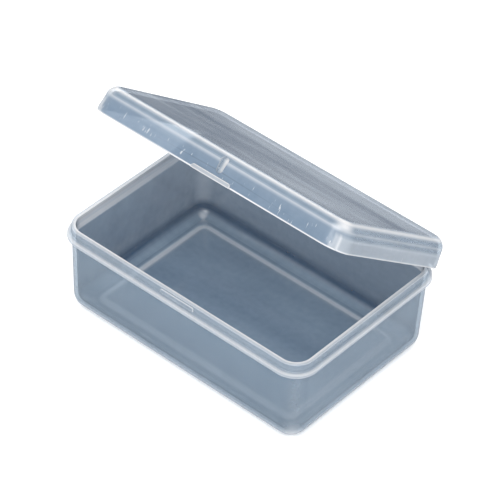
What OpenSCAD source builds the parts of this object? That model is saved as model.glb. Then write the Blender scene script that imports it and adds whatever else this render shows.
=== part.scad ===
// Hinged pick box: a small rectangular case for flat instrument picks.
// A deep tray and a shallow lid are joined along the back by two thin hinge webs.
// The origin is the centre of the tray's foot, +Z is up, +X runs along the box,
// and the catch is at the front, on the -Y side. All sizes are in millimetres.

/* [Tray] */

// outer length of the box, over the flange
box_l = 65; // [45:0.5:90]
// outer width of the box, over the flange
box_w = 45.5; // [30:0.5:70]
// height of the tray, from the foot to the top of the lip
tray_h = 21.5; // [14:0.5:40]
// wall thickness of the tray
wall = 0.8; // [0.6:0.05:1.5]
// thickness of the tray's floor
floor_t = 0.9; // [0.6:0.05:1.5]
// plan radius of the inner corners at the mouth
inner_r = 3.7; // [3:0.1:8]
// how far each side draws in from the mouth down to the foot
tray_draft = 0.54; // [0.2:0.02:1]
// radius of the outer edge round the foot
foot_r = 3.3; // [1.5:0.1:3.3]

/* [Rim] */

// how far the flange stands out from the inner wall
flange_out = 1.75; // [1.4:0.05:4]
// thickness of the flange
flange_t = 1.05; // [0.8:0.05:2]
// thickness of the raised lip inside the flange
lip_t = 0.9; // [0.6:0.05:1.2]
// height of the lip above the flange
lip_h = 2.05; // [1:0.05:4]

/* [Floor panel] */

// margin from the inner wall to the edge of the raised floor panel
panel_in = 4.75; // [3.8:0.05:8]
// height by which the floor panel is raised
panel_up = 0.4; // [0.2:0.05:0.8]
// width of the sloped edge round the floor panel
panel_slope = 0.7; // [0.3:0.05:1.5]

/* [Lid] */

// height of the closed lid, over its seat on the flange
lid_h = 6; // [4:0.1:15]
// thickness of the lid's top and of its skirt above the rebate
lid_wall = 0.85; // [0.7:0.05:1.5]
// thickness of the skirt where it passes outside the lip
skirt_t = 0.6; // [0.5:0.05:0.65]
// plan radius of the lid's outer corners at its edge
lid_r = 4.7; // [4:0.1:9]
// radius of the edge round the lid's top
crown_r = 2.5; // [1.5:0.1:3.5]
// how far each side of the lid draws in from its edge to its top
lid_draft = 0.36; // [0.1:0.02:0.8]
// angle by which the lid stands open
lid_open = 37.1; // [0:0.1:180]

/* [Hinge] */

// length of each hinge web along the box
web_l = 12; // [6:0.5:20]
// distance of each web's middle from the box's middle
web_x = 17; // [10:0.5:22]
// thickness of the hinge webs
web_t = 0.3; // [0.2:0.05:0.4]

/* [Catch] */

// length of the keeper on the front of the lip
keeper_l = 8.7; // [5:0.1:14]
// how far the keeper stands out
keeper_d = 0.2; // [0.1:0.02:0.22]
// length of the finger tab at the lid's front edge
tab_l = 10; // [7:0.1:16]
// height of the finger tab
tab_h = 0.95; // [0.6:0.05:1.5]
// how far the finger tab stands out
tab_d = 0.3; // [0.2:0.05:0.6]
// distance of the front rib to the right of the box's middle
rib_x = 1.1; // [0:0.1:4]

/* [Hidden] */

$fn = 96;
eps = 0.01;
PLASTIC = [0.56, 0.63, 0.70];

// mouth and the centres of the tray's plan corners
inner_l = box_l - 2 * flange_out;
inner_w = box_w - 2 * flange_out;
tray_cx = inner_l / 2 - inner_r;
tray_cy = inner_w / 2 - inner_r;
flange_z = tray_h - lip_h;
inner_foot_r = foot_r - wall;

// lid, measured up from its own edge
lid_inset = 0.065;
seat_gap = 0.08;
seat_z = flange_z + seat_gap;
lid_l = box_l - 2 * lid_inset;
lid_w = box_w - 2 * lid_inset;
lid_cx = lid_l / 2 - lid_r;
lid_cy = lid_w / 2 - lid_r;
land_h = 0.9;
rebate_h = lip_h + 0.25;
rebate_top = rebate_h + 0.3;
crown_in = crown_r - lid_wall;
inside_x = lid_r - lid_wall - 0.1;

// hinge line, just behind the flange and above its top
hinge_y = box_w / 2 + 0.27;
hinge_z = flange_z + 0.16;
web_in = 0.2;
web_out = web_in + web_t;

// catch
keeper_z = tray_h - 1.55;
keeper_h = 1.05;
keeper_face = inner_w / 2 + lip_t + keeper_d;
bead_h = 0.38;
pocket_h = 1.8;
pocket_l = keeper_l + 0.5;
rib_low = 2.25;
rib_rise = 2.05;
rib_lean = 10;
rib_r = [0.72, 0.95];

// ---- helpers ----

// Sweeps a section once round a rounded rectangle. The section's x is the distance
// outward from the corner centres, which stand at (cx, cy), and its y is the height.
module swept_round(cx, cy) {
    for (q = [0:3]) {
        a = q % 2 == 0 ? cx : cy;
        b = q % 2 == 0 ? cy : cx;
        rotate(90 * q)
            translate([a, b, 0]) {
                rotate_extrude(angle = 90)
                    children();
                rotate([90, 0, 0])
                    linear_extrude(2 * b)
                        children();
            }
    }
}

// Solid half section from z0 up to z1 with one rounded lower edge of radius r. The wall
// stands upright at x0 over the rounded edge, then leans out to x1 at its top.
module rounded_foot(x0, x1, z0, z1, r) {
    polygon([
        [0, z0],
        [x0 - r, z0],
        [x0, z0 + r],
        [x1, z1],
        [0, z1]
    ]);
    intersection() {
        translate([x0 - r, z0 + r])
            circle(r);
        translate([x0 - r, z0 - 1])
            square([r + 1, r + 1]);
    }
}

// The same section upside down, with its rounded edge at the top. The wall starts at
// x1 at the height z0 and leans in to x0 under the rounded edge.
module rounded_crown(x0, x1, z0, z1, r) {
    translate([0, z0 + z1])
        mirror([0, 1])
            rounded_foot(x0, x1, z0, z1, r);
}

// Quarter of a disc with its centre at the origin, on the side x > 0 and on the side of
// y that has the sign s.
module quarter_disc(r, s) {
    intersection() {
        circle(r);
        translate([0, s < 0 ? -r - 1 : 0])
            square(r + 1);
    }
}

// Half section of a low panel with a sloped edge, from z0 up to z0 + panel_up.
module panel_section(r, z0) {
    polygon([
        [0, z0],
        [r + panel_slope / 2, z0],
        [r - panel_slope / 2, z0 + panel_up],
        [0, z0 + panel_up]
    ]);
}

// Low panel with a sloped edge, its mid-slope at the margin panel_in from the walls.
module floor_panel(z0) {
    r = 1.6;
    cx = inner_l / 2 - panel_in - r;
    cy = inner_w / 2 - panel_in - r;
    swept_round(cx, cy)
        panel_section(r, z0);
    translate([-cx, -cy, z0])
        cube([2 * cx, 2 * cy, panel_up]);
}

// ---- tray ----

// Section of the tray's wall, with the lip, the flange and the edge of the floor.
module tray_section() {
    foot_x = inner_r - tray_draft + wall;
    difference() {
        rounded_foot(foot_x, inner_r + wall, 0, flange_z, foot_r);
        rounded_foot(foot_x - wall, inner_r, floor_t, flange_z + eps, inner_foot_r);
    }
    translate([inner_r + wall / 2, flange_z - flange_t])
        square([flange_out - wall / 2, flange_t]);
    polygon([
        [inner_r, flange_z - eps],
        [inner_r + lip_t, flange_z - eps],
        [inner_r + lip_t, tray_h - 0.2],
        [inner_r + lip_t - 0.2, tray_h],
        [inner_r + 0.15, tray_h],
        [inner_r, tray_h - 0.15]
    ]);
}

// Keeper: a low bar on the front face of the lip that the lid's edge drops past.
module keeper() {
    translate([-keeper_l / 2, -keeper_face, 0])
        rotate([90, 0, 90])
            linear_extrude(keeper_l)
                polygon([
                    [0, keeper_z],
                    [keeper_d + 0.3, keeper_z],
                    [keeper_d + 0.3, keeper_z + keeper_h],
                    [keeper_d, keeper_z + keeper_h],
                    [0, keeper_z + keeper_h - 0.25]
                ]);
}

module tray() {
    color(PLASTIC)
        difference() {
            union() {
                swept_round(tray_cx, tray_cy)
                    tray_section();
                translate([-tray_cx, -tray_cy, 0])
                    cube([2 * tray_cx, 2 * tray_cy, floor_t]);
                floor_panel(floor_t);
                keeper();
            }
            floor_panel(0);
        }
}

// ---- lid ----

// Section of the lid's outside, measured from the lid's own edge.
module lid_section() {
    square([lid_r, land_h]);
    rounded_crown(lid_r - lid_draft, lid_r, land_h, lid_h, crown_r);
}

// Section of the lid's hollow: a rebate that passes the lip, then the drafted inside.
module hollow_section() {
    translate([0, -1])
        square([lid_r - skirt_t, rebate_h + 1]);
    polygon([
        [0, rebate_h],
        [lid_r - skirt_t, rebate_h],
        [inside_x, rebate_top],
        [0, rebate_top]
    ]);
    rounded_crown(lid_r - lid_draft - lid_wall, inside_x, rebate_top, lid_h - lid_wall, crown_in);
}

module lid_hollow() {
    swept_round(lid_cx, lid_cy)
        hollow_section();
    translate([-lid_cx, -lid_cy, -1])
        cube([2 * lid_cx, 2 * lid_cy, lid_h - lid_wall + 1]);
}

// Finger tab: a raised strip along the front edge, with rounded upper corners.
module tab() {
    r = 0.7;
    translate([0, -lid_w / 2 + 0.1, 0])
        rotate([90, 0, 0])
            linear_extrude(tab_d + 0.1) {
                translate([-tab_l / 2, 0])
                    square([tab_l, tab_h - r]);
                translate([-tab_l / 2 + r, 0])
                    square([tab_l - 2 * r, tab_h]);
                for (s = [-1, 1])
                    scale([s, 1])
                        translate([tab_l / 2 - r, tab_h - r])
                            quarter_disc(r, 1);
            }
}

// Front rib: a short upright half cone on the skirt with round ends. It leans with the
// skirt, and its axis lies a little inside the skirt's face.
module front_rib() {
    translate([rib_x, -lid_w / 2 + 0.3, rib_low])
        rotate([-rib_lean, 0, 0])
            rotate_extrude() {
                polygon([
                    [0, 0],
                    [rib_r[0], 0],
                    [rib_r[1], rib_rise],
                    [0, rib_rise]
                ]);
                quarter_disc(rib_r[0], -1);
                translate([0, rib_rise])
                    quarter_disc(rib_r[1], 1);
            }
}

// Room behind the tab for the keeper, with a shallower notch through the edge below it.
module keeper_pocket() {
    face = -lid_w / 2 + skirt_t;
    translate([-pocket_l / 2, face - 0.22, bead_h])
        cube([pocket_l, 0.3, pocket_h - bead_h]);
    translate([-pocket_l / 2, face - 0.08, -eps])
        cube([pocket_l, 0.2, bead_h + 2 * eps]);
}

// The lid as it lies closed on the tray, with its edge at the height zero.
module lid_body() {
    difference() {
        union() {
            swept_round(lid_cx, lid_cy)
                lid_section();
            translate([-lid_cx, -lid_cy, 0])
                cube([2 * lid_cx, 2 * lid_cy, lid_h]);
            tab();
            front_rib();
        }
        lid_hollow();
        keeper_pocket();
    }
}

module lid() {
    color(PLASTIC)
        translate([0, hinge_y, hinge_z])
            rotate([-lid_open, 0, 0])
                translate([0, -hinge_y, seat_z - hinge_z])
                    lid_body();
}

// ---- hinge webs ----

// Section of a web, with the hinge line at its origin, y backwards and z up: a ring that
// is open at the front, where it meets the back of the flange and the back of the lid.
module web_section() {
    root_y = box_w / 2 - hinge_y;
    root_z = -web_in - 0.02;
    lid_y = lid_w / 2 - hinge_y;
    far = 2 * web_out;
    c = cos(lid_open);
    s = sin(lid_open);
    difference() {
        circle(web_out);
        circle(web_in);
        polygon([
            [root_y, -far],
            [root_y, root_z],
            [0, root_z],
            [0, 0],
            [-root_z * s, -root_z * c],
            [lid_y * c - root_z * s, -lid_y * s - root_z * c],
            [lid_y * c + far * s, -lid_y * s + far * c],
            [-far, far],
            [-far, -far]
        ]);
    }
}

// One web: a thin band that curls round the hinge line from the flange to the lid.
module hinge_web(x) {
    color(PLASTIC)
        translate([x - web_l / 2, hinge_y, hinge_z])
            rotate([90, 0, 90])
                linear_extrude(web_l)
                    web_section();
}

module hinge_web_left() {
    hinge_web(-web_x);
}

module hinge_web_right() {
    hinge_web(web_x);
}

tray();
lid();
hinge_web_left();
hinge_web_right();
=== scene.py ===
"""Looks for the hinged pick box: a moulded tray and lid in cloudy blue-grey plastic."""

import math

import bmesh
import bpy
import numpy as np
from mathutils import Matrix, Vector


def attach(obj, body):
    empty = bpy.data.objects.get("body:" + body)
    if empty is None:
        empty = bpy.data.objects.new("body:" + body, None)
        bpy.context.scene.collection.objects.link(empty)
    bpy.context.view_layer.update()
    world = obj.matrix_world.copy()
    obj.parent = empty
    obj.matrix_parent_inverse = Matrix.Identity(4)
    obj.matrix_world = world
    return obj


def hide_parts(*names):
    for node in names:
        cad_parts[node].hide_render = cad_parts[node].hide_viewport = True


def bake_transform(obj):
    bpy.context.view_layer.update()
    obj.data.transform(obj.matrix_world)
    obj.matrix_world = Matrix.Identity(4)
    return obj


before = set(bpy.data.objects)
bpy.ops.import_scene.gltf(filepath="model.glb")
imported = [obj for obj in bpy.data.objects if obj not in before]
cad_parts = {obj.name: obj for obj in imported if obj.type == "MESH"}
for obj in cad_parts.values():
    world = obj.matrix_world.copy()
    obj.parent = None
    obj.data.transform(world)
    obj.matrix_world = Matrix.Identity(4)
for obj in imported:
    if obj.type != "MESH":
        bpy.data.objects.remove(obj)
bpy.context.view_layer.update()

MM = 0.001
CORNER_STEPS = 14

# Sizes of the CAD part, in millimetres. CX and CY are the middles of the corners' arcs.
INNER_X, INNER_Y = 30.75, 21.0
TRAY_CX, TRAY_CY = 27.05, 17.3
TRAY_H, FLANGE_Z, FLANGE_T = 21.5, 19.45, 1.05
FLOOR_T, PANEL_UP, PANEL_SLOPE, PANEL_IN, PANEL_R = 0.9, 0.4, 0.7, 4.75, 1.6
FOOT_R, WALL, DRAFT = 3.3, 0.8, 0.54
INNER_R, LIP_T, FLANGE_R = 3.7, 0.9, 5.45
KEEPER_X, KEEPER_TOP_X, KEEPER_H, KEEPER_SIDE_H = 4.35, 4.15, 1.05, 0.85
KEEPER_Y, KEEPER_Z, KEEPER_D = -21.6, 19.95, 0.5
LID_CX, LID_CY, LID_R, LID_H = 27.735, 17.985, 4.7, 6.0
LID_T, LID_LEAN, CROWN_R, CROWN_IN_R = 0.85, 0.36, 2.5, 1.65
SKIRT_IN_R, SKIRT_T = 4.1, 0.6
LID_FACE = LID_CY + LID_R
SEAT_Z = 19.53
TAB_X, TAB_H, TAB_R, TAB_D = 5, 0.95, 0.7, 0.4
RIB_LOW_R, RIB_HIGH_R, RIB_RISE = 0.72, 0.95, 2.05
RIB_X, RIB_Z, RIB_TILT = 1.1, 2.25, math.radians(-10)
POCKET_X, POCKET_D, POCKET_Z = 4.6, 0.22, (0.38, 1.8)
LEAD_D, LEAD_Z = 0.08, (-0.01, 0.4)
HINGE_Y, HINGE_Z = 23.02, 19.61
LID_OPEN = math.radians(37.1)
WEB_X, WEB_L, WEB_IN, WEB_OUT = 17.0, 12.0, 0.2, 0.5
WEB_FROM, WEB_TO = math.radians(-141), math.radians(109.6)
WEB_STEPS, WEB_SLICES = 28, 12

# Width of the border inside the outline of a keeper or tab, which carries a painted highlight as its
# edge.
BORDER = 0.22
# A tray's point whose weight "inside" is above this is on its inner side.
INNER_SIDE = 0.6

# Linear colours.
OUTER_DARK, OUTER_PALE = (0.25, 0.35, 0.45), (0.40, 0.50, 0.59)
# Painted shade colours, mixed in where the painted shade weight is high, mostly on the inside and on the
# lid's top.
SHADE_DARK, SHADE_PALE = (0.005, 0.05, 0.125), (0.03, 0.08, 0.165)
# Colour of the painted highlights, and of the pale scratches.
HIGHLIGHT_AND_SCRATCH_COLOUR = (0.88, 0.86, 0.85)
# Dark colour seen along a glancing wall: partly its thickness, partly painted shade.
THICK_AND_SHADE_COLOUR = (0.095, 0.13, 0.18)
CLEAR_TINT = (0.740, 0.783, 0.828)
FLOOR_DARK, FLOOR_PALE = (0.90, 0.905, 0.91), (0.92, 0.925, 0.93)

# Opacity of an outer, an inner and a turned-away wall, and what other weights add to it.
OUTER_OPACITY, INNER_OPACITY, BACK_OPACITY = 0.28, 0.83, 0.18
SKIRT_SHADE_OPACITY, RIM_OPACITY, MOTTLE_OPACITY = 0.52, 0.7, 0.06

# The camera's place was found in hundredths of the box's length. Its angles are the azimuth from
# the front, the elevation and the roll, and the lens is a share of the sensor's width.
CAMERA_UNIT = 0.65 * MM
CAMERA_AIM_Z = 15
CAMERA_RIGHT, CAMERA_UP, CAMERA_BACK = 0.929, 11.760, 961.817
CAMERA_ANGLES = (38.917, 41.046, 3.234)
SENSOR, FOCAL_SHARE = 36, 6.077914


# ---- mesh helpers ----

def arc(cx, cy, r, start, end, steps):
    """Points of an arc in the section plane, angles in degrees."""
    angles = [math.radians(start + (end - start) * i / steps) for i in range(steps + 1)]
    return [(cx + r * math.cos(a), cy + r * math.sin(a)) for a in angles]


def ring(cx, cy, rho, z):
    """Points round a rounded rectangle, whose corners are arcs of radius rho about (cx, cy)."""
    points = []
    for q, (sx, sy) in enumerate(((1, 1), (-1, 1), (-1, -1), (1, -1))):
        for i in range(CORNER_STEPS + 1):
            a = math.radians(90 * (q + i / CORNER_STEPS))
            points.append((sx * cx + rho * math.cos(a), sy * cy + rho * math.sin(a), z))
    return points


class Rings:
    """Rings of a shell, each (cx, cy, rho, z), with four weights: its painted highlight as an edge,
    its painted shade, the painted highlight added in its corners, and how far it counts as lying
    on the inside, from 0 outside to 1."""

    def __init__(self, cx, cy):
        self.centre = (cx, cy)
        self.inside = 0.0
        self.rows = []

    def add(self, rho, z, edge, deep, corner=0.0, centre=None):
        cx, cy = centre or self.centre
        self.rows.append(((cx, cy, rho, z), edge, deep, corner, self.inside))

    def add_all(self, points, edge, deep=0):
        for rho, z in points:
            self.add(rho, z, edge, deep)


def loft(name, rows):
    """Closed mesh through the rings, with flat caps at both ends."""
    count = 4 * (CORNER_STEPS + 1)
    verts = [p for row in rows for p in ring(*row[0])]
    faces = []
    for k in range(len(rows) - 1):
        a, b = k * count, (k + 1) * count
        for i in range(count):
            j = (i + 1) % count
            faces.append((a + i, a + j, b + j, b + i))
    faces.append(tuple(reversed(range(count))))
    last = (len(rows) - 1) * count
    faces.append(tuple(range(last, last + count)))
    return new_object(name, verts, faces)


def new_object(name, verts, faces):
    mesh = bpy.data.meshes.new(name)
    mesh.from_pydata([Vector(v) * MM for v in verts], [], faces)
    mesh.validate()
    obj = bpy.data.objects.new(name, mesh)
    bpy.context.scene.collection.objects.link(obj)
    return obj


def move(obj, place):
    """Moves a mesh by a matrix that is in millimetres."""
    obj.data.transform(Matrix.Scale(MM, 4) @ place @ Matrix.Scale(1 / MM, 4))


def outline_block(name, outline, depth, place, bevel=0, inset=0):
    """Extrudes an outline in its xy plane by depth along z, and places it. A bevel rounds its
    edges. An inset adds a line of points inside its outer face's outline."""
    n = len(outline)
    verts = [(x, y, 0) for x, y in outline] + [(x, y, depth) for x, y in outline]
    faces = [tuple(reversed(range(n))), tuple(range(n, 2 * n))]
    faces += [(i, (i + 1) % n, n + (i + 1) % n, n + i) for i in range(n)]
    obj = new_object(name, verts, faces)
    if inset:
        work = bmesh.new()
        work.from_mesh(obj.data)
        outer = [f for f in work.faces if f.normal.z > 0.99]
        bmesh.ops.inset_region(work, faces=outer, thickness=inset * MM)
        work.to_mesh(obj.data)
        work.free()
    if bevel:
        mod = obj.modifiers.new("round", "BEVEL")
        mod.width = bevel * MM
        mod.segments = 3
        mod.limit_method = "ANGLE"
        mod.angle_limit = math.radians(50)
        apply_all(obj)
    move(obj, place)
    return obj


def block(low, high):
    """A cutting block between two corners."""
    (x0, y0, z0), (x1, y1, z1) = low, high
    outline = [(x0, y0), (x1, y0), (x1, y1), (x0, y1)]
    return outline_block("cut", outline, z1 - z0, Matrix.Translation((0, 0, z0)))


def apply_all(obj):
    """Replaces the object's mesh with what its modifiers make."""
    bpy.context.view_layer.update()
    graph = bpy.context.evaluated_depsgraph_get()
    mesh = bpy.data.meshes.new_from_object(obj.evaluated_get(graph), depsgraph=graph)
    obj.modifiers.clear()
    obj.data = mesh


def combine(obj, other, operation):
    mod = obj.modifiers.new("join", "BOOLEAN")
    mod.operation = operation
    mod.solver = "EXACT"
    mod.object = other
    apply_all(obj)
    bpy.data.objects.remove(other)


def finish_mesh(obj, crease=35):
    """Smooth shading that keeps the flat faces flat."""
    obj.data.polygons.foreach_set("use_smooth", [True] * len(obj.data.polygons))
    obj.data.set_sharp_from_angle(angle=math.radians(crease))
    mod = obj.modifiers.new("normals", "WEIGHTED_NORMAL")
    mod.keep_sharp = True
    mod.weight = 60
    apply_all(obj)


# ---- painted weights ----

def coords(obj):
    """The mesh's points, in millimetres."""
    return np.array([v.co for v in obj.data.vertices], float) / MM


def paint(obj, name, values):
    """One value for each corner of each face."""
    layer = obj.data.attributes.new(name, "FLOAT", "CORNER")
    layer.data.foreach_set("value", np.asarray(values, np.float32))


def paint_own(obj):
    """Keeps each point's place in the piece's own frame, in millimetres, for the grain."""
    layer = obj.data.attributes.new("own", "FLOAT_VECTOR", "POINT")
    layer.data.foreach_set("vector", coords(obj).astype(np.float32).ravel())


def corners_of(obj, chosen):
    """For each face corner, its point's index and whether its face is one of those chosen."""
    points = coords(obj)
    at = np.array([i for f in obj.data.polygons for i in f.vertices])
    picked = np.array([
        hit for f in obj.data.polygons for hit in [chosen(points[list(f.vertices)])] * len(f.vertices)
    ])
    return at, picked


def corner_share(points, cx, cy):
    """0 on the flat sides of a rounded rectangle, rising to 1 in the middle of each corner."""
    dx, dy = np.abs(points[:, 0]) - cx, np.abs(points[:, 1]) - cy
    angle = np.arctan2(np.maximum(dy, 0), np.maximum(dx, 1e-6))
    return np.where((dx > 0) & (dy > 0), np.sin(2 * angle) ** 2, 0)


def weigh(points, rows):
    """Painted highlight, painted shade and inside weights of points, each from the ring that it lies
    nearest to.
    """
    best = np.full(len(points), 1e9)
    edge, deep, inside = (np.zeros(len(points)) for _ in range(3))
    for (cx, cy, rho, z), ring_edge, ring_deep, ring_corner, ring_inside in rows:
        dx = np.maximum(np.abs(points[:, 0]) - cx, 0)
        dy = np.maximum(np.abs(points[:, 1]) - cy, 0)
        d = np.hypot(np.hypot(dx, dy) - rho, points[:, 2] - z)
        near = d < best
        best[near] = d[near]
        edge[near] = ring_edge + ring_corner * corner_share(points[near], cx, cy)
        deep[near] = ring_deep
        inside[near] = ring_inside
    return edge, deep, inside


# ---- tray ----

def tray_rings():
    """Rings of the tray from the middle of its underside, out round the rim, to the middle of
    its floor."""
    panel = (INNER_X - PANEL_IN - PANEL_R, INNER_Y - PANEL_IN - PANEL_R)
    hi, lo = PANEL_R - PANEL_SLOPE / 2, PANEL_R + PANEL_SLOPE / 2
    foot = INNER_R - DRAFT + WALL
    inside = foot - WALL
    fillet = FOOT_R - WALL
    lip = INNER_R + LIP_T
    shell = Rings(TRAY_CX, TRAY_CY)
    add, add_all = shell.add, shell.add_all

    def wall_at(z):
        return foot + (INNER_R + WALL - foot) * (z - FOOT_R) / (FLANGE_Z - FOOT_R)

    def inner_at(z):
        low = FLOOR_T + fillet
        return inside + (INNER_R - inside) * (z - low) / (FLANGE_Z - low)

    # The recess below the floor panel, the foot and the outer wall, with painted highlights along the
    # recess, round the foot and in the wall's corners.
    for rho, z, edge in ((hi - 0.25, PANEL_UP, 0.3), (hi + 0.06, PANEL_UP - 0.05, 1),
                         (lo - 0.06, 0.05, 1), (lo + 0.25, 0, 0.3)):
        add(rho, z, edge, 0, 0, panel)
    for i, (rho, z) in enumerate(arc(foot - FOOT_R, FOOT_R, FOOT_R, -90, 0, 10)):
        add(rho, z, 0.45 * math.sin(math.pi * i / 10), 0, 0.3)
    for z in (5, 8, 11, 14, 17.2):
        add(wall_at(z), z, 0, 0, 0.12)

    # The flange, with painted shade beneath it, then the lip, with painted highlights along their rounded
    # edges.
    under = FLANGE_Z - FLANGE_T
    add_all(arc(wall_at(under) + 0.2, under - 0.2, 0.2, 180, 90, 3), 0.05, 0.2)
    add(FLANGE_R - 0.35, under, 0.1, 0)
    add_all(arc(FLANGE_R - 0.25, under + 0.25, 0.25, -90, 0, 4), 0.6)
    add(FLANGE_R, FLANGE_Z - 0.5, 0.45, 0)
    add_all(arc(FLANGE_R - 0.22, FLANGE_Z - 0.22, 0.22, 0, 90, 4), 0.75)
    add(lip + 0.3, FLANGE_Z, 0.55, 0)
    add_all(arc(lip + 0.15, FLANGE_Z + 0.15, 0.15, 270, 180, 3), 0.3)
    add(lip, FLANGE_Z + 0.3, 0.1, 0)
    add(lip, TRAY_H - 0.35, 0.1, 0)
    add_all(arc(lip - 0.2, TRAY_H - 0.2, 0.2, 0, 90, 4), 0.55)
    add(INNER_R + 0.5, TRAY_H, 0.8, 0)
    add_all(arc(INNER_R + 0.17, TRAY_H - 0.17, 0.17, 90, 180, 4), 1.0)

    # The inner rim, with painted highlights, and the inner walls, with painted shade that grows toward
    # the foot and painted highlights in their corners.
    shell.inside = 0.65
    add(INNER_R, TRAY_H - 0.5, 0.95, 0)
    add(INNER_R, FLANGE_Z + 0.35, 0.7, 0)
    add(INNER_R, FLANGE_Z, 1.0, 0)
    add(inner_at(18.5), 18.5, 0.9, 0)
    shell.inside = 0.9
    add(inner_at(18.1), 18.1, 0, 0.45)
    for z, deep in ((14, 0.5), (9, 0.58), (5, 0.68)):
        add(inner_at(z), z, 0, deep, 0.2)

    # The inner foot, with painted shade and a painted highlight in each corner, and the floor panel, with
    # painted shade and painted highlight lines along its slopes.
    shell.inside = 1.0
    shade = (0.85, 1, 1, 0.95, 0.8, 0.6, 0.45, 0.35, 0.3, 0.3, 0.3)
    highlight_dot = (0, 0, 0, 0, 0, 0.2, 0.5, 0.9, 1.1, 0.9, 0.5)
    points = arc(inside - fillet, FLOOR_T + fillet, fillet, 0, -90, 10)
    for (rho, z), deep, corner in zip(points, shade, highlight_dot):
        add(rho, z, 0, deep, corner)
    shell.inside = 0.9
    top = FLOOR_T + PANEL_UP
    for rho, z, edge in ((lo + 1.15, FLOOR_T, 0), (lo + 0.6, FLOOR_T, 0), (lo + 0.25, FLOOR_T, 0.35),
                         (lo - 0.06, FLOOR_T + 0.05, 0.8), (hi + 0.06, top - 0.05, 0.9),
                         (hi - 0.25, top, 0.5), (hi - 0.6, top, 0.1), (hi - 1.0, top, 0)):
        add(rho, z, edge, 0.5, 0, panel)
    return shell.rows


def keeper():
    """The low bar on the front face of the lip, with a sloped top edge."""
    outline = [
        (-KEEPER_X, 0), (KEEPER_X, 0), (KEEPER_X, KEEPER_SIDE_H),
        (KEEPER_TOP_X, KEEPER_H), (-KEEPER_TOP_X, KEEPER_H), (-KEEPER_X, KEEPER_SIDE_H),
    ]
    upright = Matrix.Rotation(math.radians(90), 4, "X")
    place = Matrix.Translation((0, KEEPER_Y, KEEPER_Z)) @ upright
    return outline_block("keeper", outline, KEEPER_D, place, 0.08, BORDER)


def build_tray(plastic):
    rows = tray_rings()
    obj = loft("tray_shell", rows)
    combine(obj, keeper(), "UNION")
    finish_mesh(obj)

    # The bar stands out from the lip's face, which is at y -21.9.
    at, on_bar = corners_of(obj, lambda p: p[:, 1].mean() < -21.92 and p[:, 2].min() > KEEPER_Z - 0.15)
    edge, deep, inside = (w[at] for w in weigh(coords(obj), rows))
    x, y, z = coords(obj)[at].T
    # Painted highlight: faint over the bar, brighter along its top and ends.
    edge[on_bar] = 0.15
    edge[on_bar & ((z > 20.85) | (np.abs(x) > KEEPER_X - 0.15))] = 0.75

    # Painted light and shade: the inner walls are made clearer, and so lighter, toward the back left,
    # against the lid's shadow there, and the floor gets more painted shade toward the front.
    walls = (inside > INNER_SIDE) & (z > 4) & (z < 18.2)
    painted_lift = np.clip(y / TRAY_CY, 0, 1) * np.clip(0.5 - 0.5 * x / TRAY_CX, 0, 1)
    inside[walls] -= 0.15 * painted_lift[walls]
    floor = (inside > INNER_SIDE) & (z < 1.4)
    deep[floor] -= 0.008 * y[floor]

    paint(obj, "edge", edge)
    paint(obj, "deep", deep)
    paint(obj, "inside", inside)
    paint(obj, "scuff", np.zeros(len(at)))
    paint(obj, "flow", np.where(inside > INNER_SIDE, 0.3, 0))
    paint_own(obj)
    obj.data.materials.append(plastic)
    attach(obj, "tray")
    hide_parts("tray")


# ---- lid ----

def lid_rings():
    """Rings of the lid from the middle of its top, down round its edge, to the middle of its
    underside, as it lies closed with its edge at the height zero."""
    top = LID_R - LID_LEAN
    shell = Rings(LID_CX, LID_CY)
    add, add_all = shell.add, shell.add_all

    # The top, with painted shade, and its rounded crown, with a painted highlight along a line and a
    # small painted highlight in each corner.
    glow = (0, 0.05, 0.2, 0.5, 0.85, 0.75, 0.35, 0.08, 0.03, 0.15, 0.4, 0.2, 0.06)
    corner_highlight = (0, 0, 0.1, 0.3, 0.2, 0.3, 0.5, 0.8, 0.8, 0.5, 0.1, 0.1, 0.1)
    add(top - CROWN_R - 1.2, LID_H, 0, 0.72)
    add(top - CROWN_R - 0.5, LID_H, 0, 0.8)
    crown = arc(top - CROWN_R, LID_H - CROWN_R, CROWN_R, 90, 0, 12)
    for (rho, z), edge, corner in zip(crown, glow, corner_highlight):
        add(rho, z, edge, 1.0 if z > LID_H - 0.05 else 0.1, corner)

    # The skirt, with painted highlights on its corners and lower edge, and its inner face with the ledge,
    # with painted shade and painted highlight lines along the ledge and the inner crown.
    for rho, z, deep in ((LID_R - 0.26, 2.6, 0.1), (LID_R - 0.1, 1.4, 0.15),
                         (LID_R, 0.9, 0.15), (LID_R, 0.4, 0.1)):
        add(rho, z, 0.03, deep, 0.1)
    add_all(arc(LID_R - 0.14, 0.14, 0.14, 0, -90, 3), 0.8)
    add_all(arc(SKIRT_IN_R + 0.1, 0.1, 0.1, -90, -180, 3), 0.9, 0.2)
    shell.inside = 0.5
    for rho, z, edge in ((SKIRT_IN_R, 0.4, 0.05), (SKIRT_IN_R, 2.15, 0.05), (SKIRT_IN_R, 2.28, 0.4),
                         (4.06, 2.34, 1.0), (3.78, 2.58, 1.0), (3.74, 2.66, 0.3), (3.7, 2.8, 0.05)):
        add(rho, z, edge, 0.6)
    crown = arc(top - LID_T - CROWN_IN_R, LID_H - LID_T - CROWN_IN_R, CROWN_IN_R, 0, 90, 8)
    for i, (rho, z) in enumerate(crown):
        add(rho, z, 0.35 * math.sin(math.pi * i / 8), 0.8)
    return shell.rows


def tab():
    """The finger tab, with round upper corners."""
    outline = [(-TAB_X, 0), (TAB_X, 0)]
    outline += arc(TAB_X - TAB_R, TAB_H - TAB_R, TAB_R, 0, 90, 5)
    outline += arc(TAB_R - TAB_X, TAB_H - TAB_R, TAB_R, 90, 180, 5)
    upright = Matrix.Rotation(math.radians(90), 4, "X")
    place = Matrix.Translation((0, -LID_FACE + 0.1, 0)) @ upright
    return outline_block("tab", outline, TAB_D, place, 0.1, BORDER)


def rib_place():
    return Matrix.Translation((RIB_X, -LID_FACE + 0.3, RIB_Z)) @ Matrix.Rotation(RIB_TILT, 4, "X")


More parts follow.
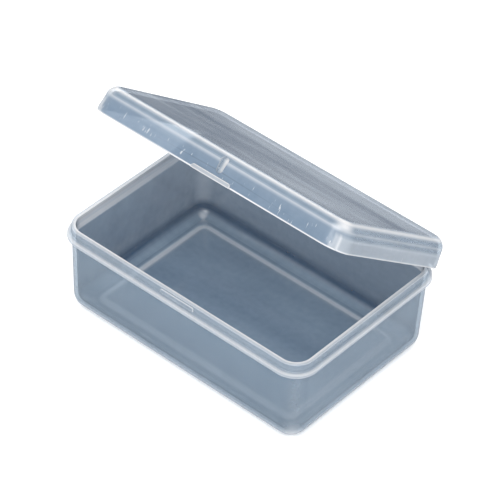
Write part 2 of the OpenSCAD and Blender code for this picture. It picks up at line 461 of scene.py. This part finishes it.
def front_rib():
    """A leaning half-sunk cone with round ends, its back kept within the lid's wall."""
    section = arc(0, 0, RIB_LOW_R, -90, 0, 5) + arc(0, RIB_RISE, RIB_HIGH_R, 0, 90, 5)
    turns = 24
    verts = [(0, 0, section[0][1])]
    for x, z in section[1:-1]:
        for i in range(turns):
            a = 2 * math.pi * i / turns
            verts.append((x * math.cos(a), x * math.sin(a), z))
    verts.append((0, 0, section[-1][1]))
    rows = len(section) - 2
    last = 1 + (rows - 1) * turns
    faces = []
    for i in range(turns):
        j = (i + 1) % turns
        faces.append((0, 1 + j, 1 + i))
        for k in range(rows - 1):
            a, b = 1 + k * turns, 1 + (k + 1) * turns
            faces.append((a + i, a + j, b + j, b + i))
        faces.append((last + i, last + j, len(verts) - 1))
    obj = new_object("rib", verts, faces)
    move(obj, rib_place())

    # Above the height 3.2 the limit slopes back, to stay within the crown.
    for v in obj.data.vertices:
        back = -LID_FACE + 0.5 + 0.45 * max(0, v.co.z / MM - 3.2)
        v.co.y = min(v.co.y, back * MM)
    return obj


def lid_place():
    """From the closed lid's own frame to the open lid in the row frame, in millimetres."""
    return (
        Matrix.Translation((0, HINGE_Y, HINGE_Z))
        @ Matrix.Rotation(-LID_OPEN, 4, "X")
        @ Matrix.Translation((0, -HINGE_Y, SEAT_Z - HINGE_Z))
    )


def build_lid(plastic):
    rows = lid_rings()
    obj = loft("lid_shell", rows)
    combine(obj, tab(), "UNION")
    combine(obj, front_rib(), "UNION")
    # The pocket for the keeper, and the shallow way in below it.
    face = -LID_FACE + SKIRT_T
    for depth, past, (z0, z1) in ((POCKET_D, 0.08, POCKET_Z), (LEAD_D, 0.12, LEAD_Z)):
        cut = block((-POCKET_X, face - depth, z0), (POCKET_X, face + past, z1))
        combine(obj, cut, "DIFFERENCE")
    finish_mesh(obj)
    to_rib = np.array(rib_place().inverted())

    def rib_coords(p):
        return (np.c_[p, np.ones(len(p))] @ to_rib.T)[:, :3]

    def rib_face(p):
        q = rib_coords(p)
        span = RIB_LOW_R + (RIB_HIGH_R - RIB_LOW_R) * np.clip(q[:, 2] / RIB_RISE, 0, 1)
        near = (np.hypot(q[:, 0], q[:, 1]) < span + 0.05).all()
        above = (-RIB_LOW_R - 0.1 < q[:, 2]).all()
        below = (q[:, 2] < RIB_RISE + RIB_HIGH_R + 0.1).all()
        return q[:, 1].mean() < 0 and near and above and below

    at, on_tab = corners_of(obj, lambda p: p[:, 1].mean() < -LID_FACE - 0.05 and p[:, 2].max() < 1)
    at, on_rib = corners_of(obj, rib_face)
    edge, deep, inside = (w[at] for w in weigh(coords(obj), rows))
    points = coords(obj)[at]
    x, y, z = points.T

    # Painted highlights: on the tab most on its border, on the rib toward its sides, and on the skirt at
    # its ends and corners.
    middle = (np.abs(x) < 4.82) & (z > 0.16) & (z < 0.78)
    edge[on_tab] = np.where(middle, 0.55, 0.95)[on_tab]
    across = np.clip(np.abs(rib_coords(points)[:, 0]) / RIB_LOW_R, 0, 1)
    edge[on_rib] = (0.1 + 0.9 * across ** 2)[on_rib]
    low_outside = (inside == 0) & (z < 3)
    ends = low_outside & (np.abs(x) > LID_CX + 2)
    edge[ends] = np.maximum(edge[ends], 0.35)
    edge[low_outside & (corner_share(points, LID_CX, LID_CY) > 0.97)] = 0.6
    inside[on_rib] = 0

    # Painted shade: the front of the skirt is made more opaque and darker toward its lower edge, where a
    # dark view through it is painted in.
    skirt_shade = np.clip((LID_H - z) / 2.5, 0, 1) * np.clip((-y - LID_CY) / LID_R, 0, 1)
    skirt_shade[(inside > 0) | on_tab | on_rib] = 0

    paint(obj, "scuff", np.where((inside == 0) & (z < 2.7), 1, 0))
    paint(obj, "skirt_shade", skirt_shade)
    paint(obj, "edge", edge)
    # The skirt's painted shade also raises the painted shade weight.
    paint(obj, "deep", np.maximum(deep, 0.6 * skirt_shade))
    paint(obj, "inside", inside)
    paint(obj, "flow", np.where((inside == 0) & (z > LID_H - 0.03), 1, 0))
    paint_own(obj)
    move(obj, lid_place())
    obj.data.materials.append(plastic)
    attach(obj, "lid")
    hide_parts("lid")


# ---- hinge webs ----

def build_web(name, x, plastic):
    """A film that curls round the hinge line from the flange to the lid's back edge."""
    verts, faces = [], []
    for k in range(WEB_SLICES + 1):
        px = x - WEB_L / 2 + WEB_L * (k / WEB_SLICES)
        for i in range(WEB_STEPS + 1):
            a = WEB_FROM + (WEB_TO - WEB_FROM) * i / WEB_STEPS
            for r in (WEB_IN, WEB_OUT):
                verts.append((px, HINGE_Y + r * math.cos(a), HINGE_Z + r * math.sin(a)))
    row = 2 * (WEB_STEPS + 1)
    for k in range(WEB_SLICES):
        a, b = k * row, (k + 1) * row
        for p in range(0, 2 * WEB_STEPS, 2):
            faces.append((a + p, b + p, b + p + 2, a + p + 2))
            faces.append((a + p + 1, a + p + 3, b + p + 3, b + p + 1))
        faces.append((a, a + 1, b + 1, b))
        faces.append((a + row - 2, b + row - 2, b + row - 1, a + row - 1))
    for k, flip in ((0, False), (WEB_SLICES, True)):
        for i in range(WEB_STEPS):
            p = k * row + 2 * i
            face = (p, p + 2, p + 3, p + 1)
            faces.append(tuple(reversed(face)) if flip else face)
    obj = new_object(name, verts, faces)
    finish_mesh(obj)
    # A faint painted highlight all over the film.
    paint(obj, "edge", np.full(len(obj.data.loops), 0.4))
    paint_own(obj)
    obj.data.materials.append(plastic)
    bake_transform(obj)
    return obj


# ---- materials ----

class Nodes:
    """Short calls that add a node to a tree and return its output. Each input may be a number,
    a colour or another node's output."""

    def __init__(self, tree):
        self.tree = tree

    def new(self, kind):
        return self.tree.nodes.new("ShaderNode" + kind)

    def put(self, socket, value):
        if isinstance(value, tuple):
            socket.default_value = (*value, 1)
        elif isinstance(value, (int, float)):
            socket.default_value = value
        else:
            self.tree.links.new(value, socket)

    def math(self, operation, a, b, clamp=False):
        n = self.new("Math")
        n.operation = operation
        n.use_clamp = clamp
        self.put(n.inputs[0], a)
        self.put(n.inputs[1], b)
        return n.outputs[0]

    def times(self, a, b):
        return self.math("MULTIPLY", a, b)

    def plus(self, a, b, clamp=False):
        return self.math("ADD", a, b, clamp)

    def mix_colour(self, factor, a, b):
        n = self.new("Mix")
        n.data_type = "RGBA"
        for slot, value in ((0, factor), (6, a), (7, b)):
            self.put(n.inputs[slot], value)
        return n.outputs[2]

    def mix_value(self, factor, a, b):
        n = self.new("Mix")
        for slot, value in ((0, factor), (2, a), (3, b)):
            self.put(n.inputs[slot], value)
        return n.outputs[0]

    def mix_shader(self, factor, a, b):
        n = self.new("MixShader")
        for slot, value in enumerate((factor, a, b)):
            self.put(n.inputs[slot], value)
        return n.outputs[0]

    def attribute(self, name, output="Fac"):
        n = self.new("Attribute")
        n.attribute_name = name
        return n.outputs[output]

    def noise(self, scale, detail, roughness):
        """Noise in the piece's own frame. The scale is per millimetre, along x, y and z."""
        mapping = self.new("Mapping")
        mapping.inputs["Scale"].default_value = scale if isinstance(scale, tuple) else (scale,) * 3
        self.put(mapping.inputs["Vector"], self.attribute("own", "Vector"))
        n = self.new("TexNoise")
        n.inputs["Scale"].default_value = 1
        n.inputs["Detail"].default_value = detail
        n.inputs["Roughness"].default_value = roughness
        self.put(n.inputs["Vector"], mapping.outputs[0])
        return n.outputs["Fac"]

    def ramp(self, value, low, high, out_low=0.0, out_high=1.0):
        n = self.new("MapRange")
        self.put(n.inputs["Value"], value)
        for slot, x in (("From Min", low), ("From Max", high), ("To Min", out_low), ("To Max", out_high)):
            n.inputs[slot].default_value = x
        return n.outputs[0]


def shell_plastic(name):
    """Cloudy plastic: part of the light passes, the rest is scattered by a blue-grey body."""
    mat = bpy.data.materials.new(name)
    mat.use_nodes = True
    mat.node_tree.nodes.clear()
    n = Nodes(mat.node_tree)
    out = n.new("OutputMaterial")
    body = n.new("BsdfPrincipled")
    clear = n.new("BsdfTransparent")
    dark = n.new("BsdfDiffuse")
    edge, deep, inside = (n.attribute(w) for w in ("edge", "deep", "inside"))
    scuff, flow, skirt_shade = (n.attribute(w) for w in ("scuff", "flow", "skirt_shade"))

    # Cloudiness, fine speckle, flow streaks along the part, and scratches across its sides.
    cloud = n.noise(0.09, 4, 0.6)
    fine = n.noise(0.7, 1, 0.5)
    streak = n.ramp(n.noise((0.02, 0.085, 0.085), 3, 0.55), 0.36, 0.64, -0.5, 0.5)
    scratch = n.ramp(n.noise((2.6, 2.6, 0.35), 1, 0.5), 0.68, 0.76)
    # Painted highlights from the edge weights, with pale scratches where the surface is scuffed; then the
    # painted shade weight, less the flow streaks.
    glow = n.math("MAXIMUM", edge, n.times(scratch, n.times(scuff, 0.5)))
    depth = n.math("SUBTRACT", deep, n.times(n.times(streak, flow), 0.8), True)

    mottle = n.plus(n.times(fine, 0.45), n.times(cloud, 0.8))
    # The body's own colour, darkened toward the painted shade colours and lightened toward the painted
    # highlight colour.
    outer = n.mix_colour(mottle, OUTER_DARK, OUTER_PALE)
    shade_colour = n.mix_colour(mottle, SHADE_DARK, SHADE_PALE)
    base = n.mix_colour(glow, n.mix_colour(depth, outer, shade_colour), HIGHLIGHT_AND_SCRATCH_COLOUR)
    n.put(body.inputs["Base Color"], base)
    n.put(body.inputs["Roughness"], n.ramp(inside, 0, 1, 0.2, 0.12))
    n.put(body.inputs["Coat Weight"], n.ramp(inside, 0.5, 1, 0.25, 0.8))
    n.put(body.inputs["Coat Roughness"], 0.08)
    n.put(body.inputs["Specular IOR Level"], 0.55)
    n.put(body.inputs["IOR"], 1.49)
    bump = n.new("Bump")
    n.put(bump.inputs["Strength"], 0.02)
    n.put(bump.inputs["Distance"], 0.0004)
    n.put(bump.inputs["Height"], n.times(n.noise(0.055, 1, 0.4), n.ramp(inside, 0, 0.9, 1, 0.2)))
    n.put(body.inputs["Normal"], bump.outputs[0])

    # Seen almost along the surface, the wall is thick and looks dark. That dark is partly the thickness
    # and partly painted shade where a glancing view would show dark surroundings, and it takes the place
    # of part of the glancing reflection.
    facing = n.new("LayerWeight")
    n.put(facing.inputs["Blend"], 0.5)
    rim = n.math("POWER", facing.outputs["Facing"], 4.0)
    outline = n.math("POWER", facing.outputs["Facing"], 14.0)
    n.put(dark.inputs["Color"], THICK_AND_SHADE_COLOUR)
    on_flow = n.math("SUBTRACT", 0.08, n.times(streak, 0.55))
    along = n.times(rim, n.plus(n.times(flow, on_flow), 0.85))
    along = n.plus(along, n.times(outline, 0.5), True)
    solid = n.mix_shader(along, body.outputs[0], dark.outputs[0])

    n.put(clear.inputs["Color"], CLEAR_TINT)
    near_side = n.mix_value(inside, OUTER_OPACITY, INNER_OPACITY)
    side = n.new("NewGeometry")
    opacity = n.mix_value(side.outputs["Backfacing"], near_side, BACK_OPACITY)
    # Painted highlights make outer faces more opaque and inner faces clearer, so both look lighter.
    opacity = n.plus(opacity, n.times(glow, n.ramp(inside, 0.5, 0.9, 0.4, -0.4)))
    opacity = n.plus(opacity, n.times(skirt_shade, SKIRT_SHADE_OPACITY))
    opacity = n.plus(opacity, n.times(rim, RIM_OPACITY))
    opacity = n.plus(opacity, n.times(mottle, MOTTLE_OPACITY), True)
    n.put(out.inputs["Surface"], n.mix_shader(opacity, clear.outputs[0], solid))
    return mat


def floor_material():
    mat = bpy.data.materials.new("pale_floor")
    mat.use_nodes = True
    n = Nodes(mat.node_tree)
    body = mat.node_tree.nodes["Principled BSDF"]
    speckle = n.new("TexNoise")
    speckle.inputs["Scale"].default_value = 3
    n.put(body.inputs["Base Color"], n.mix_colour(speckle.outputs["Fac"], FLOOR_DARK, FLOOR_PALE))
    n.put(body.inputs["Roughness"], 0.9)
    n.put(body.inputs["Specular IOR Level"], 0.1)
    n.put(body.inputs["Emission Color"], (1, 1, 1))
    n.put(body.inputs["Emission Strength"], 0.25)
    return mat


# ---- stage, lights and camera ----

def build_stage():
    size = 4
    corners = [(-size, -size, 0), (size, -size, 0), (size, size, 0), (-size, size, 0)]
    mesh = bpy.data.meshes.new("floor")
    mesh.from_pydata(corners, [], [(0, 1, 2, 3)])
    obj = bpy.data.objects.new("floor", mesh)
    bpy.context.scene.collection.objects.link(obj)
    mesh.materials.append(floor_material())


def area_light(name, direction, distance, size, power, colour):
    """A rectangular light that looks at the box from a direction. Distance and size in metres."""
    data = bpy.data.lights.new(name, "AREA")
    data.shape = "RECTANGLE"
    data.size, data.size_y = size
    data.energy = power
    data.color = colour
    obj = bpy.data.objects.new(name, data)
    way = Vector(direction).normalized()
    obj.location = Vector((0, 0, 0.02)) + way * distance
    obj.rotation_mode = "QUATERNION"
    obj.rotation_quaternion = way.to_track_quat("Z", "Y")
    bpy.context.scene.collection.objects.link(obj)
    return obj


def build_lights():
    area_light("key", direction=(0.25, -0.4, 0.87), distance=0.9, size=(0.7, 0.7),
               power=6, colour=(1.0, 0.99, 0.97))
    strip = area_light("strip", direction=(-0.55, 0.66, 0.38), distance=0.8, size=(1.1, 0.36),
                       power=4, colour=(1.0, 0.98, 0.95))
    strip.visible_diffuse = False
    world = bpy.data.worlds.new("studio")
    world.use_nodes = True
    sky = world.node_tree.nodes["Background"]
    sky.inputs["Color"].default_value = (0.95, 0.97, 1, 1)
    sky.inputs["Strength"].default_value = 0.8
    bpy.context.scene.world = world


def build_camera():
    """The camera stands 0.63 m off, to the right of the front and 41 degrees up."""
    azimuth, elevation, roll = (math.radians(a) for a in CAMERA_ANGLES)
    back = Vector((
        math.sin(azimuth) * math.cos(elevation),
        -math.cos(azimuth) * math.cos(elevation),
        math.sin(elevation),
    ))
    right = Vector((math.cos(azimuth), math.sin(azimuth), 0))
    up = back.cross(right)
    c, s = math.cos(roll), math.sin(roll)
    right, up = c * right + s * up, c * up - s * right
    offset = CAMERA_RIGHT * right + CAMERA_UP * up + CAMERA_BACK * back
    data = bpy.data.cameras.new("camera")
    data.sensor_width = SENSOR
    data.lens = FOCAL_SHARE * SENSOR
    data.clip_start, data.clip_end = 0.05, 20
    cam = bpy.data.objects.new("camera", data)
    place = Matrix.Translation((Vector((0, 0, CAMERA_AIM_Z)) + offset) * CAMERA_UNIT)
    cam.matrix_world = place @ Matrix((right, up, back)).transposed().to_4x4()
    bpy.context.scene.collection.objects.link(cam)
    bpy.context.scene.camera = cam


bpy.context.scene.view_settings.view_transform = "Standard"
plastic = shell_plastic("cloudy_plastic")
build_tray(plastic)
build_lid(plastic)
film = shell_plastic("hinge_plastic")
for side, x in (("left", -WEB_X), ("right", WEB_X)):
    web = build_web(f"web_{side}", x, film)
    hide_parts(f"hinge_web_{side}")
build_stage()
build_lights()
build_camera()
